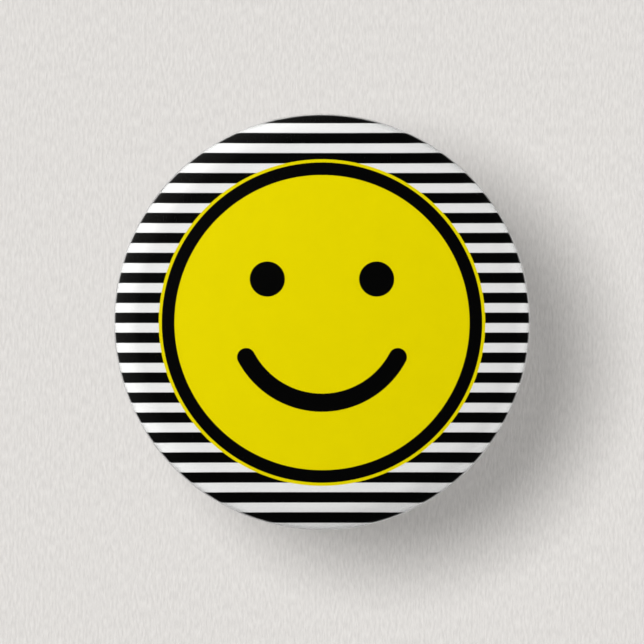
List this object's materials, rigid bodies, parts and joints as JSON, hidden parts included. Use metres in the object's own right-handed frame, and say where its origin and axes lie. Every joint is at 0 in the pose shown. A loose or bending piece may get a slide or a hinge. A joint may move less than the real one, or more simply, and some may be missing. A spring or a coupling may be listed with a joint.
{
  "type": "button badge",
  "caption": "Round pin-back button badge with a domed printed face under clear film, a curled tin rim, a pressed tin back plate and a spring-wire pin that swings open.",
  "frame": {"origin": "on the axis of the pin's arm, at the middle of the badge's back, so the disc's axis is the Y axis", "axes": "as worn: the face looks along -Y, the back along +Y, the top of the picture is +Z, and +X runs along the pin's arm from its coil to its point"},
  "size_m": [0.032, 0.0074, 0.032],
  "materials": {
    "film": "clear gloss polyester",
    "print": "printed, smooth",
    "shell_tin": "bright tinplate",
    "back_tin": "bright tinplate, lightly rolled",
    "pin_wire": "nickel-plated spring steel"
  },
  "bodies": {
    "badge": {"clear_film": "film", "printed_paper": "print", "front_shell": "shell_tin", "back_plate": "back_tin", "pin_base": "pin_wire", "pin_coil": "pin_wire"},
    "arm": {"pin_arm": "pin_wire"}
  },
  "joints": [
    {"name": "pin_swing", "type": "hinge", "parent": "badge", "child": "arm", "pos_m": [-0.0096, -0.00063, -0.0009], "axis": [0, -0.8192, 0.5736], "range_deg": [0, 50], "deforming": ["pin_coil"]}
  ]
}
